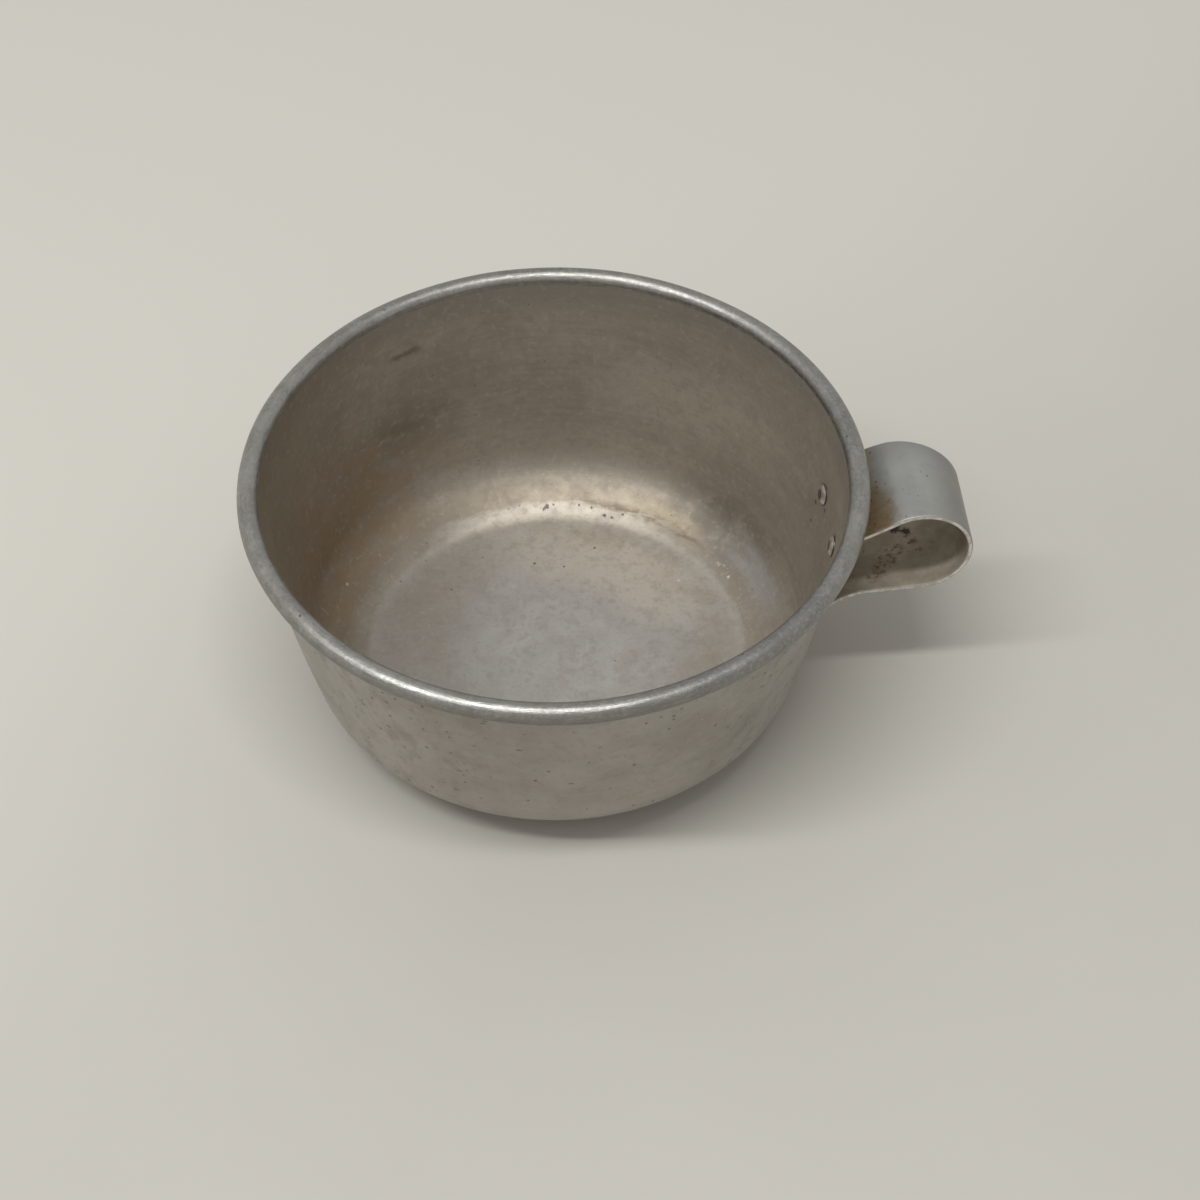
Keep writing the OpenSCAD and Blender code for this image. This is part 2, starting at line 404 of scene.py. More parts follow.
# %% [markdown]
# ## Where the strap and rivets sit
# The strap is a flat strip bent by hand tools: a tab riveted to the wall, a tight heel, a round loop
# for the finger, and a tail that turns down onto the wall again. Its middle line is again straights
# and arcs, each tangent to the next, so only the arcs' centres need finding. Near the wall the strip
# hugs the bowl's curve, and at the loop it is flat across, so each point carries how far it hugs.

# %% Find the bends of the strap
STRAP_WIDTH = 23 * MM
STRAP_SHEET = 1.1 * MM
STRAP_ENDS = 3 * MM
SEAT_GAP = 0.05 * MM
LOOP_RADIUS = 11.1 * MM
LOOP_RISE = 0.9 * MM
TAB_RISE = 2.7 * MM
TAB_DROP = 5.5 * MM
HEEL_BEND = 2 * MM
TOE_BEND = 11 * MM
TAIL_DROP = 19.2 * MM
TAIL_LENGTH = 5 * MM
RIVET_DROP = 19 * MM
QUARTER = math.radians(90)


def wall_slope(height):
    """How far the wall leans outwards at a height."""
    return math.asin((bulge_centre.y - height) / BULGE_RADIUS)


def wall_point(height, out=0.0):
    """The wall's outside at a height, or a point out from it."""
    return bulge_centre + (BULGE_RADIUS + out) * heading(-wall_slope(height))


rivet_height = BOWL_HEIGHT - RIVET_DROP
seat = SEAT_GAP + STRAP_SHEET / 2
tab_way = QUARTER - wall_slope(rivet_height)
tab_middle = wall_point(rivet_height, seat)
heel_centre = tab_middle + TAB_RISE * heading(tab_way) + HEEL_BEND * heading(tab_way - QUARTER)
tail_height = rivet_height - TAIL_DROP - TAIL_LENGTH / 2
tail_way = -QUARTER - wall_slope(tail_height)
tail_start = wall_point(tail_height, seat) - TAIL_LENGTH / 2 * heading(tail_way)
toe_centre = tail_start + TOE_BEND * heading(tail_way + QUARTER)
loop_bend = LOOP_RADIUS - STRAP_SHEET / 2
loop_centre = Vector((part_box("handle_strap")[1].x - LOOP_RADIUS, rivet_height + LOOP_RISE))
heel_to_loop = loop_centre - heel_centre
loop_to_toe = toe_centre - loop_centre
upper_way = angle_of(loop_centre, heel_centre) + math.asin((loop_bend - HEEL_BEND) / heel_to_loop.length)
lower_way = angle_of(toe_centre, loop_centre) - math.asin((loop_bend + TOE_BEND) / loop_to_toe.length)
print("loop's middle, mm:", [round(v / MM, 1) for v in loop_centre])

# %% Lay out the strap's middle line
WALL_HUG = 1.0
HEEL_HUG = 0.75
LOOP_HUG = 0.0
TOE_HUG = 0.4
path = []


def lay(points, hug_from, hug_to, widths=None):
    """Adds points to the strap's path, with their hug eased between two values."""
    for i, point in enumerate(points):
        share = i / (len(points) - 1)
        eased = share * share * (3 - 2 * share)
        path.append((point, hug_from + (hug_to - hug_from) * eased, widths[i] if widths else 1.0))


def rounded_end(tip, way, steps=8):
    """Points from the strap's tip inwards, and the share of its width there."""
    shares = [1 - math.cos(QUARTER * i / steps) for i in range(steps + 1)]
    points = [tip + s * STRAP_ENDS * heading(way) for s in shares]
    corner = STRAP_ENDS / (STRAP_WIDTH / 2)
    return points, [1 - corner * (1 - math.sqrt(1 - (1 - s) ** 2)) for s in shares]


points, widths = rounded_end(tab_middle - TAB_DROP * heading(tab_way), tab_way)
lay(points, WALL_HUG, WALL_HUG, widths)
lay(arc(heel_centre, HEEL_BEND, tab_way + QUARTER, upper_way + QUARTER, steps=12), WALL_HUG, HEEL_HUG)
loop_turn = arc(loop_centre, loop_bend, upper_way + QUARTER, lower_way + QUARTER, steps=64)
toe_turn = arc(toe_centre, TOE_BEND, lower_way - QUARTER, tail_way - QUARTER, steps=18)
lay(straight(path[-1][0], loop_turn[0], steps=10)[1:-1], HEEL_HUG, LOOP_HUG)
lay(loop_turn, LOOP_HUG, LOOP_HUG)
lay(straight(loop_turn[-1], toe_turn[0], steps=10)[1:-1], LOOP_HUG, TOE_HUG)
lay(toe_turn, TOE_HUG, WALL_HUG)
points, widths = rounded_end(tail_start + TAIL_LENGTH * heading(tail_way), tail_way + 2 * QUARTER)
lay(points[::-1], WALL_HUG, WALL_HUG, widths[::-1])
print("strap path has", len(path), "points")

# %% [markdown]
# ## A material is a graph too
# Worn aluminium is never one grey. A finish below starts from the metal's colour and lays stains,
# pits and scratches over it by masks, each a number from 0 to 1, and in some places painted light
# and painted shade as well. All patterns read the piece's own Object coordinates in metres, so a
# mark's size in the script is its size on the bowl. Old sheet ware has a dull skin of oxide, so
# these metals are only partly metallic: the rest scatters light as paint does, which is what keeps
# the shaded walls from going black.

# %% Masks and paint
class Finish(Graph):
    """A material under construction, which ends in one Principled shader.

    The sizes, grains, reaches and depths that its methods take are in millimetres.
    """

    def __init__(self, name, **constants):
        self.material = bpy.data.materials.new(name)
        self.material.use_nodes = True
        super().__init__(self.material.node_tree)
        self.shader = self.tree.nodes["Principled BSDF"]
        self.place = self.node("ShaderNodeTexCoord", out="Object")
        self.colour = (0.5, 0.5, 0.5, 1.0)
        self.set(constants)

    def set(self, values):
        """Sets or links sockets of the shader."""
        for label, value in values.items():
            self.plug(self.shader, label, value)

    def attribute(self, name):
        """A number that the mesh carries under this name."""
        return self.node("ShaderNodeAttribute", {"attribute_name": name}, out="Fac")

    def paint(self, mask, colour):
        """Lays a colour over the colour so far, where the mask is 1."""
        self.colour = self.blend(mask, self.colour, colour)

    def squeezed(self, factors):
        """Coordinates for a pattern that is squeezed along x, y and z by these factors."""
        return self.vector("MULTIPLY", self.place, factors)

    def cloud(self, size, low=0.35, high=0.65, squeeze=(1, 1, 1), detail=4):
        """Soft patches of about this size: 0 where the noise is under low, 1 where it is over high."""
        return self.ease(self.noise(self.squeezed(squeeze), size * MM, detail, 0.6), low, high)

    def shaken(self, value, depth, grain, rough=0.6):
        """A value moved up and down by noise, so that a limit on it has a ragged edge."""
        return value + depth * (self.noise(self.place, grain * MM, 4, rough) - 0.5)

    def band(self, value, low, high, soft):
        """1 where a value lies between two limits, with soft edges."""
        return self.ease(value, low - soft, low + soft) * self.ease(value, high + soft, high - soft)

    def outwards(self):
        """The level direction from the upright axis."""
        return self.vector("NORMALIZE", self.squeezed((1, 1, 0)))

    def facing(self, azimuth, spread):
        """1 towards one direction from the upright axis, 0 from this many degrees to either side."""
        way = heading(math.radians(azimuth))
        aligned = self.vector("DOT_PRODUCT", self.outwards(), (way.x, way.y, 0), out="Value")
        return self.ease(aligned, math.cos(math.radians(spread)), 1.0)

    def streaks(self, height, radius, size):
        """Noise drawn out round the upright axis, as it would lie on a cylinder of a small radius."""
        x, y, _ = self.parts(self.outwards())
        spot = self.join(radius * MM * x, radius * MM * y, height * MM)
        return self.noise(spot, size * MM, 4, 0.65)

    def spots(self, marks, grain, ragged):
        """Ragged patches, each given by a point and how far it reaches, both in metres."""
        edge = (self.noise(self.place, grain * MM, 3, 0.6) - 0.5) * ragged
        mask = 0.0
        for point, reach in marks:
            away = self.vector("DISTANCE", self.place, point, out="Value") / reach
            mask = self.either(mask, self.ease(away + edge, 1.0, 0.5))
        return mask

    def specks(self, size, share, reach, squeeze=(1, 1, 1)):
        """Round specks: one in each cell of this size, in a share of the cells, reach across."""
        cells = {"Vector": self.squeezed(squeeze), "Scale": 1 / (size * MM)}
        found = self.node("ShaderNodeTexVoronoi", {"feature": "F1"}, cells, "Distance")
        chance = self.parts(Wire(self, found.socket.node.outputs["Color"]))[0]
        return self.ease(found, reach / size, 0.5 * reach / size) * self.ease(chance, share, 0.7 * share)

    def bump(self, height, depth):
        """A normal that follows a height of 0 to 1, this deep."""
        values = {"Height": height, "Distance": depth * MM, "Strength": 1.0}
        self.set({"Normal": self.node("ShaderNodeBump", inputs=values)})


BLUE_LOSS = 1.5


def grey(level, warmth):
    """A grey whose red is raised by the warmth, and whose blue is lowered by more."""
    return (level * (1 + warmth), level, level * (1 - BLUE_LOSS * warmth), 1.0)


print("finish tools ready")

# %% [markdown]
# ## The bowl's finish
# One sheet has three skins: a stained inside, a rubbed rim and a satin outside. They could be three
# materials, but one material that blends three colours keeps the sheet in one piece. The section's
# attributes say which skin a point is on and how far it lies along the sheet, as on a tape laid from
# the middle of the floor. On that tape the floor ends at about 39 mm, the inner wall starts at about
# 59 mm and the rim at about 102 mm. Directions are degrees round from the handle, so 90 is the far
# side in the photograph and 180 is opposite the handle.

# %% Places inside the bowl
def on_inside(azimuth, distance):
    """A point inside the bowl, by degrees round from the handle and millimetres along the sheet."""
    after = next(i for i, reach in enumerate(along) if reach > distance * MM)
    share = (distance * MM - along[after - 1]) / (along[after] - along[after - 1])
    spot = section[after - 1].lerp(section[after], share)
    way = heading(math.radians(azimuth))
    return (spot.x * way.x, spot.x * way.y, spot.y)


def marks_inside(*marks):
    """Marks for spots(), each given by degrees round, millimetres along and millimetres of reach."""
    return [(on_inside(azimuth, distance), reach * MM) for azimuth, distance, reach in marks]


PITS = marks_inside(
    (90, 43.4, 0.75), (91, 42.8, 0.5), (88, 43.9, 0.4), (71.5, 42.2, 0.6), (69, 42, 0.45), (76, 43.6, 0.4),
    (80, 43.9, 0.4), (66, 43.5, 0.4), (71, 32, 0.4), (83, 25, 0.35), (98, 26.5, 0.45), (140, 30, 0.3),
    (250, 28, 0.4), (300, 43, 0.5))
WHITE_SPECKS = marks_inside((33, 34.5, 0.5), (24, 44.4, 0.5), (159, 51, 0.4), (230, 46, 0.5))
RIVET_DIRT = marks_inside((4.5, 83.5, 0.7), (-5, 82, 0.6), (9.5, 81, 0.6), (9, 76, 0.5))
print("placed", len(PITS), "pits and", len(WHITE_SPECKS), "white specks")

# %% [markdown]
# ## Stains and painted highlights inside
# Years of food and drink left a tide line on the haunch, a yellow film above it, a brown ring on the
# floor and brown clouds on the wall away from the handle. A painted image could show them, but masks
# made from distances and directions need no file, and their sizes can be changed in the script. At
# the far side the haunch, the wall above it and the floor also get painted highlights. Each call of
# paint() lays one stain or painted highlight over the ones before it.

# %% The wall inside
FLAT_BANDS = (1, 1, 10)


def wall_stains_and_highlight(finish, mm, ragged):
    """The brown clouds and dark smears of the wall and the haunch, and a painted highlight above the
    haunch.
    """
    # Broad clouds, lighter towards the rim and at the far right
    finish.colour = finish.blend(finish.cloud(24), grey(0.29, 0.13), grey(0.355, 0.115))
    finish.paint(0.4 * finish.cloud(14, 0.45, 0.7, FLAT_BANDS), grey(0.25, 0.15))
    finish.paint(0.5 * finish.ease(mm, 78, 98), grey(0.385, 0.11))
    finish.paint(0.65 * finish.facing(48, 38) * finish.band(mm, 68, 86, 6), grey(0.45, 0.115))
    # Scratches that run round, mottling, and a dull band under the rim
    scratches = finish.streaks(mm, 6, 0.9)
    finish.paint(0.2 * finish.ease(scratches, 0.52, 0.66), grey(0.24, 0.11))
    finish.paint(0.12 * finish.ease(scratches, 0.46, 0.34), grey(0.46, 0.1))
    finish.paint(0.3 * finish.cloud(7, 0.5, 0.68, (1, 1, 1.5)), grey(0.25, 0.12))
    finish.paint(0.25 * finish.cloud(9, 0.52, 0.7, (1, 1, 1.5)), grey(0.45, 0.09))
    finish.paint(0.5 * finish.ease(ragged, 93, 100), grey(0.25, 0.07))
    # Browns opposite the handle, and a shade beside the rivets
    brown = finish.band(ragged, 49, 74, 7) * finish.facing(150, 45)
    finish.paint(0.7 * brown * finish.cloud(13, 0.3, 0.6, (1, 1, 2)), (0.33, 0.24, 0.145, 1))
    finish.paint(0.5 * finish.facing(190, 75) * finish.ease(mm, 43, 48), (0.25, 0.185, 0.115, 1))
    rusty = finish.band(ragged, 50, 84, 6) * finish.facing(168, 50)
    finish.paint(0.4 * rusty * finish.cloud(3.2, 0.5, 0.66), (0.31, 0.21, 0.12, 1))
    finish.paint(0.3 * finish.facing(18, 40) * finish.band(mm, 58, 78, 5), grey(0.24, 0.13))
    # Single dark marks, and a painted highlight in a paler strip above the haunch at the far side
    olive = finish.band(ragged, 69, 77, 5) * finish.facing(122, 16)
    finish.paint(0.5 * olive * finish.cloud(6, 0.3, 0.55, (1, 1, 2)), grey(0.12, 0.15))
    dash = finish.band(ragged, 91, 92.4, 0.6) * finish.facing(121, 5)
    smear = finish.band(ragged, 45.5, 58, 3) * finish.facing(36, 22)
    marks = finish.either(dash, 0.8 * smear * finish.cloud(5, 0.25, 0.55))
    finish.paint(0.75 * marks, grey(0.13, 0.12))
    finish.paint(0.5 * finish.facing(92, 60) * finish.band(ragged, 52, 63, 6), grey(0.44, 0.115))


print("wall stains ready")

# %% The haunch inside
def tide_marks_and_highlight(finish, mm, ragged):
    """Film, scale and tide lines on the haunch, in streaks that run round the bowl, and a painted highlight
    at the far side.
    """
    streaks = finish.streaks(mm, 11, 2.2)
    film = finish.band(ragged + 4 * streaks, 46.4, 52, 2.5) * finish.facing(83, 48)
    finish.paint(0.8 * film * finish.ease(streaks, 0.25, 0.6), (0.38, 0.32, 0.24, 1))
    crust = finish.band(ragged, 45, 48.5, 1) * finish.facing(53, 15) * finish.cloud(2.5, 0.3, 0.55)
    finish.paint(0.65 * crust, (0.53, 0.45, 0.32, 1))
    scale = finish.band(ragged, 46.5, 54, 2) * finish.facing(18, 20)
    finish.paint(0.7 * scale * finish.ease(streaks, 0.2, 0.6), grey(0.38, 0.03))
    # Below the tide line the haunch is cleaner, and at the far side a painted highlight brightens it,
    # most of all on the ring just above the floor
    back = finish.facing(88, 45)
    finish.paint(finish.ease(ragged, 43, 41), grey(0.43, 0.06))
    finish.paint(0.85 * back * finish.ease(ragged + 3 * (streaks - 0.5), 45.4, 43.8), grey(0.52, 0.095))
    finish.paint(0.8 * back * finish.band(ragged, 40, 42.4, 1.2), grey(0.73, 0.09))
    # A broken dark line and pale flecks along the tide line
    edge = finish.band(ragged + 2 * (streaks - 0.5), 44.2, 45.6, 0.9) * finish.ease(streaks, 0.4, 0.55)
    finish.paint(0.75 * edge * finish.facing(58, 28), (0.15, 0.105, 0.06, 1))
    flecks = finish.band(ragged, 43.6, 45.4, 0.7) * finish.cloud(1.3, 0.56, 0.66)
    finish.paint(0.7 * flecks * finish.facing(18, 24), grey(0.62, 0.03))


print("tide marks ready")

# %% The floor, and the whole inside
def inside_colour(finish, mm):
    """Colour inside the bowl, with mm the distance along the sheet."""
    ragged = finish.shaken(mm, 2.4, 3)
    wall_stains_and_highlight(finish, mm, ragged)
    tide_marks_and_highlight(finish, mm, ragged)
    # A grey floor, darker opposite the handle, with a painted sheen on its far side
    floor = finish.blend(finish.cloud(9), grey(0.445, 0.04), grey(0.5, 0.03))
    finish.paint(finish.ease(ragged, 41, 37.5), floor)
    dim_floor = finish.band(mm, 18, 42, 9) * finish.facing(185, 85)
    finish.paint(0.55 * dim_floor, grey(0.31, 0.07))
    painted_sheen = finish.band(mm, 21, 38, 6) * finish.facing(60, 58)
    finish.paint(0.8 * painted_sheen, (0.6, 0.55, 0.475, 1))
    # Brown films on the floor, thickest along its edge
    worn = finish.band(mm, 25, 40, 5)
    finish.paint(0.4 * worn * finish.facing(340, 36), (0.32, 0.28, 0.225, 1))
    finish.paint(0.3 * worn * finish.facing(150, 55), (0.36, 0.31, 0.24, 1))
    residue = finish.band(ragged, 33, 39, 3) * finish.facing(45, 95) * finish.cloud(8, 0.3, 0.65)
    finish.paint(0.45 * residue, (0.38, 0.305, 0.22, 1))
    finish.paint(0.35 * finish.cloud(11, 0.5, 0.75) * finish.ease(mm, 42, 36), (0.38, 0.32, 0.25, 1))
    # Fine grain and specks everywhere, and the placed marks
    finish.paint(0.28 * finish.cloud(2.5, 0.48, 0.66), grey(0.26, 0.1))
    finish.paint(0.2 * finish.cloud(1, 0.52, 0.66), grey(0.26, 0.08))
    finish.paint(0.2 * finish.cloud(1.4, 0.54, 0.68), grey(0.55, 0.06))
    finish.paint(0.7 * finish.specks(3.2, 0.35, 0.28), grey(0.12, 0.12))
    finish.paint(0.8 * finish.spots(PITS + RIVET_DIRT, 0.4, 1.7), grey(0.07, 0.15))
    finish.paint(0.75 * finish.spots(WHITE_SPECKS, 0.4, 1.5), grey(0.7, 0.02))
    return finish.colour


print("inside ready")

# %% [markdown]
# ## The rim and the outside
# The rolled rim is rubbed cool and bright, with dirt in the creases on both sides of it, painted
# shade in the outer crease and, round its outer side, a dark line that is partly dirt and partly a
# painted dark reflection. The outside is an even, warm satin with specks and short nicks, painted
# light bounced from the table low on the wall, and dirt and painted shade right under the rim. Both
# could share one grey, but the photograph shows the rim cooler and brighter, so each has its own.

# %% The rim
def rim_colour(finish, mm):
    """Colour of the rolled rim, with dirt in the creases where it meets the wall and painted shade in the
    outer one.
    """
    finish.colour = finish.blend(finish.cloud(6), (0.36, 0.36, 0.338, 1), (0.44, 0.44, 0.415, 1))
    # Darker stretches at the front right, by the handle and on the inner slope at the back left, and
    # painted shade at the far side and the front that tones down the highlights there
    dull = finish.either(finish.facing(305, 36), 0.6 * finish.facing(16, 26))
    finish.paint(0.55 * dull, grey(0.25, 0.02))
    shaded = finish.either(finish.facing(80, 45), 0.8 * finish.facing(272, 30))
    finish.paint(0.4 * shaded, grey(0.3, 0.05))
    roll_start = start_of["roll"] / MM
    inner_slope = finish.band(mm, roll_start + 2.4, roll_start + 3.8, 0.7) * finish.facing(115, 50)
    finish.paint(0.45 * inner_slope, grey(0.25, 0.06))
    # Rubbed grain, lines that run round, and specks
    finish.paint(0.3 * finish.cloud(0.8, 0.5, 0.62), grey(0.58, 0.02))
    finish.paint(0.3 * finish.cloud(1.2, 0.54, 0.64), grey(0.24, 0.04))
    lines = finish.streaks(mm, 7, 0.5)
    finish.paint(0.35 * finish.ease(lines, 0.53, 0.66), grey(0.2, 0.05))
    finish.paint(0.8 * finish.specks(4, 0.45, 0.4, (1, 1, 0.6)), grey(0.14, 0.05))
    # Dirt in both creases, with painted shade in the outer one, and a dark line round the outer side
    # that is partly dirt and partly a painted dark reflection
    ragged = finish.shaken(mm, 1.6, 1.4, 0.65)
    roll_end = (start_of["hollow"] - SHEET) / MM
    inner_crease = finish.ease(ragged, roll_start + 1.3, roll_start + 0.3)
    grime_and_shade_weight = 0.3 + 0.7 * finish.facing(225, 110)
    finish.paint(0.6 * grime_and_shade_weight * finish.ease(ragged, roll_end - 6.6, roll_end - 4.6), grey(0.16, 0.06))
    outer_crease = grime_and_shade_weight * finish.ease(ragged, roll_end - 4.6, roll_end - 3.4)
    gritty = inner_crease * finish.cloud(1.5, 0.3, 0.6) * (0.3 + 0.7 * finish.facing(25, 50))
    finish.paint(0.7 * finish.either(gritty, outer_crease), grey(0.13, 0.06))
    return finish.colour


print("rim ready")

# %% The outside
def outside_colour(finish, mm):
    """Colour outside the bowl, with pits in clusters, painted bounce light low on the wall, and dirt and
    painted shade right under the rim.
    """
    # Warm clouds, and painted light bounced from the table low on the wall
    finish.colour = finish.blend(finish.cloud(26), grey(0.34, 0.07), grey(0.41, 0.06))
    finish.paint(0.45 * finish.cloud(13, 0.45, 0.7, (1, 1, 2)), grey(0.31, 0.09))
    finish.paint(0.5 * finish.cloud(10, 0.56, 0.74), (0.36, 0.29, 0.23, 1))
    finish.paint(0.35 * finish.cloud(6, 0.55, 0.72, (1, 1, 1.5), 6), grey(0.48, 0.02))
    finish.paint(0.3 * finish.cloud(1.6, 0.5, 0.68), grey(0.25, 0.1))
    # Painted bounce light from the table, low on the wall
    finish.paint(0.35 * finish.ease(mm, 153, 164), grey(0.47, 0.06))
    # Smears and pits, most of them at the front's two sides
    sides = finish.either(finish.facing(230, 32), finish.facing(320, 28))
    smears = finish.cloud(5, 0.48, 0.68, (1, 1, 0.7), 6) * sides
    finish.paint(0.35 * smears, grey(0.2, 0.12))
    patches = finish.either(finish.cloud(9, 0.45, 0.6), 0.9 * sides)
    pits = finish.specks(2.4, 0.6, 0.5) * patches
    finish.paint(0.75 * pits, grey(0.12, 0.1))
    finish.paint(0.65 * finish.specks(6, 0.5, 0.9, (1, 1, 2)), grey(0.15, 0.12))
    finish.paint(0.5 * finish.specks(5, 0.4, 0.6, (1, 1, 3)), grey(0.6, 0.02))
    # Dirt and painted shade right under the rim
    under = finish.shaken(mm, 1.8, 2, 0.65)
    wall_top = start_of["outer_wall"] / MM
    finish.paint(0.8 * finish.ease(under, wall_top + 5, wall_top + 3.4), grey(0.1, 0.08))
    return finish.colour


print("outside ready")

# %% The three skins together
def bowl_finish():
    """The bowl's material, with a dull skin over the metal and a shinier rim."""
    finish = Finish("bowl_metal")
    within = finish.attribute("inside")
    on_rim = finish.attribute("rim")
    mm = finish.attribute("along") / MM
    outer = outside_colour(finish, mm)
    inner = inside_colour(finish, mm)
    edge = rim_colour(finish, mm)
    skin = finish.blend(on_rim, finish.blend(within, outer, inner), edge)
    mottle = finish.cloud(5, 0.3, 0.7)
    grain = finish.noise(finish.place, 0.7 * MM, 3, 0.6)
    streak = finish.noise(finish.squeezed(FLAT_BANDS), 7 * MM, 3, 0.6)
    finish.set({
        "Base Color": skin,
        "Metallic": 0.62 + 0.3 * on_rim,
        "Roughness": 0.44 + 0.1 * mottle - 0.13 * on_rim + 0.08 * grain})
    lines = finish.streaks(mm, 7, 0.5)
    finish.bump((0.5 + 0.2 * on_rim) * grain + 0.4 * streak + 1.6 * on_rim * lines, 0.04)
    return finish.material


print("bowl finish ready")

# %% [markdown]
# ## The strap's finish
# The strap's outer face is clean, cool metal, but rust-brown water has dried where it meets the rim,
# and the inside of the loop, which no cloth reaches, is dull and has brown crusts. Painted shade
# darkens the outer face towards the loop's end and lies in near-black spots deep inside the loop.
# Its sheared edges are rubbed bright. These could be three materials set face by face, but a number
# carried from the strip's cross-section tells the faces apart too: 1 on the outer face, 0 on the
# edges and -1 inside.

# %% Places on the strap
def marks_at(*marks):
    """Marks for spots(), each given by x, y, z and reach in millimetres."""
    return [(tuple(v * MM for v in (x, y, z)), reach * MM) for x, y, z, reach in marks]


CRUSTS = marks_at(
    (74, 5.5, 29, 1.7), (75.4, 5, 29.2, 1.6), (76.8, 3.6, 29.3, 1.6), (77.6, 1.2, 29.5, 1.5),
    (78.2, -1.4, 29.7, 1), (74.2, -0.4, 29, 1.9), (72.6, -2, 28.8, 2.3), (70.8, -3.9, 28.5, 2.5),
    (69, -6.3, 28.2, 2.5), (67.6, -8, 28.1, 1.9))
# Spots of near-black painted shade deep in the loop, under its upper run
LOOP_SHADE_SPOTS = marks_at((74.2, 5.4, 29, 1.6), (76.4, 4.4, 29.3, 1.1))
STRAP_SPECKS = marks_at(
    (68.9, 9.4, 47.7, 0.3), (69.6, 0.2, 48.2, 0.35), (69.8, -4.3, 48.3, 0.4), (72.6, -3, 49.8, 0.25),
    (73.6, -4.5, 50.1, 0.25), (73, -3.9, 49.9, 0.2), (78.1, 0.3, 50.2, 0.3), (77, 1.4, 50.4, 0.2),
    (71, 6, 49, 0.25))
print("placed", len(CRUSTS) + len(LOOP_SHADE_SPOTS), "crusts and", len(STRAP_SPECKS), "specks")

# %% Strap finish
def strap_finish():
    """The strap's material, painted face by face."""
    finish = Finish("strap_metal")
    face = finish.attribute("face")
    inner = finish.ease(face, 0.3, -0.3)
    edge = finish.band(face, -0.6, 0.6, 0.2)
    x, y, _ = finish.parts(finish.place)
    ragged = finish.shaken(x / MM, 5, 4)
    # Clean outer face, darker to the rear, and with painted shade towards the loop's end
    finish.colour = finish.blend(finish.cloud(16), (0.375, 0.38, 0.36, 1), (0.425, 0.43, 0.41, 1))
    finish.paint(0.4 * finish.cloud(9, 0.5, 0.75, (1, 0.2, 1)), grey(0.33, 0.01))
    finish.paint(0.5 * finish.ease(y / MM, 2, 11), grey(0.24, 0.0))
    finish.paint(0.7 * finish.ease(ragged, 77.5, 86), grey(0.25, 0.05))
    finish.paint(0.3 * finish.cloud(3, 0.52, 0.68), grey(0.3, 0.03))
    # Brown water stains by the rim
    stained = ragged + 2 * finish.ease(y / MM, -5, 5)
    finish.paint(0.6 * finish.ease(stained, 71.4, 67.2), (0.3, 0.25, 0.165, 1))
    fringe = finish.shaken(stained, 6, 1.5, 0.65)
    front = 0.35 + 0.65 * finish.ease(y / MM, 5, -5)
    grains = 0.45 + 0.55 * finish.cloud(1.2, 0.4, 0.6)
    finish.paint(0.8 * front * grains * finish.ease(fringe, 71.5, 67.5), (0.33, 0.2, 0.07, 1))
    dots = finish.specks(1.5, 0.45, 0.35) * finish.ease(ragged, 74, 68)
    finish.paint(0.7 * dots, (0.13, 0.07, 0.03, 1))
    finish.paint(0.8 * finish.spots(STRAP_SPECKS, 0.3, 1.5), grey(0.09, 0.1))
    # Dull inner face with its crusts, and near-black painted shade deep in the loop
    dull = finish.blend(finish.cloud(6), (0.35, 0.305, 0.238, 1), (0.445, 0.405, 0.328, 1))
    finish.paint(inner, dull)
    finish.paint(0.3 * inner * finish.cloud(2, 0.48, 0.66), grey(0.22, 0.15))
    crust = inner * finish.spots(CRUSTS, 1, 2)
    finish.paint(0.3 * crust * finish.cloud(2, 0.35, 0.6), (0.25, 0.17, 0.08, 1))
    finish.paint(0.8 * crust * finish.cloud(0.9, 0.46, 0.62), (0.14, 0.075, 0.03, 1))
    finish.paint(0.9 * inner * finish.spots(LOOP_SHADE_SPOTS, 0.6, 1.6), (0.03, 0.018, 0.008, 1))
    finish.paint(0.7 * finish.specks(3, 0.35, 0.35), grey(0.11, 0.12))
    # Bright, chipped edges
    chips = finish.blend(finish.cloud(1.5, 0.4, 0.6), grey(0.5, 0.04), grey(0.75, 0.03))
    finish.paint(edge, chips)
    mottle = finish.cloud(5, 0.3, 0.7)
    grain = finish.noise(finish.place, 0.7 * MM, 3, 0.6)
    finish.set({
        "Base Color": finish.colour,
        "Metallic": 0.6 - 0.15 * inner,
        "Roughness": 0.4 + 0.1 * mottle + 0.12 * inner})
    finish.bump(grain, 0.02)
    return finish.material


print("strap finish ready")

# %% [markdown]
# ## The rivets' finish
# The rivets are small aluminium pins. Dirt stays in the hollow of each head and round its edge, so
# the colour follows the distance from the rivet's own axis, which the mesh carries as a number.

# %% Rivet finish
def rivet_finish():
    """The rivets' material, with dirt in the dimple and round the edge."""
    finish = Finish("rivet_metal", Metallic=0.85)
    cloud = finish.cloud(1.5)
    finish.colour = finish.blend(cloud, grey(0.5, 0.06), grey(0.66, 0.03))
    radius = finish.attribute("radius") / MM
    dirt = finish.either(finish.ease(radius, 1.5, 0.9), finish.ease(radius, 2.1, 2.3))
    finish.paint(0.9 * dirt, (0.12, 0.075, 0.035, 1))
    finish.set({"Base Color": finish.colour, "Roughness": 0.3 + 0.15 * cloud})
    finish.bump(cloud, 0.03)
    return finish.material


print("rivet finish ready")

# %% [markdown]
# ## Turning the bowl
# A Screw modifier could spin the section, but a geometry tree keeps the section's own marks, such as
# which points are inside, and adds the wear in the same go. A grid has one row for each point of the
# section and one column for each step round. Every grid point looks up its row's place on the section
# and turns it about the upright axis. Merging then closes the seam and the two poles. A long-used
# bowl isn't quite round, so the wall is pushed in and out by a few tenths of a millimetre, and the
# sheet is dished a little round the rivets where they were hammered.

# %% Turning any section
MERGE_WITHIN = 0.001 * MM


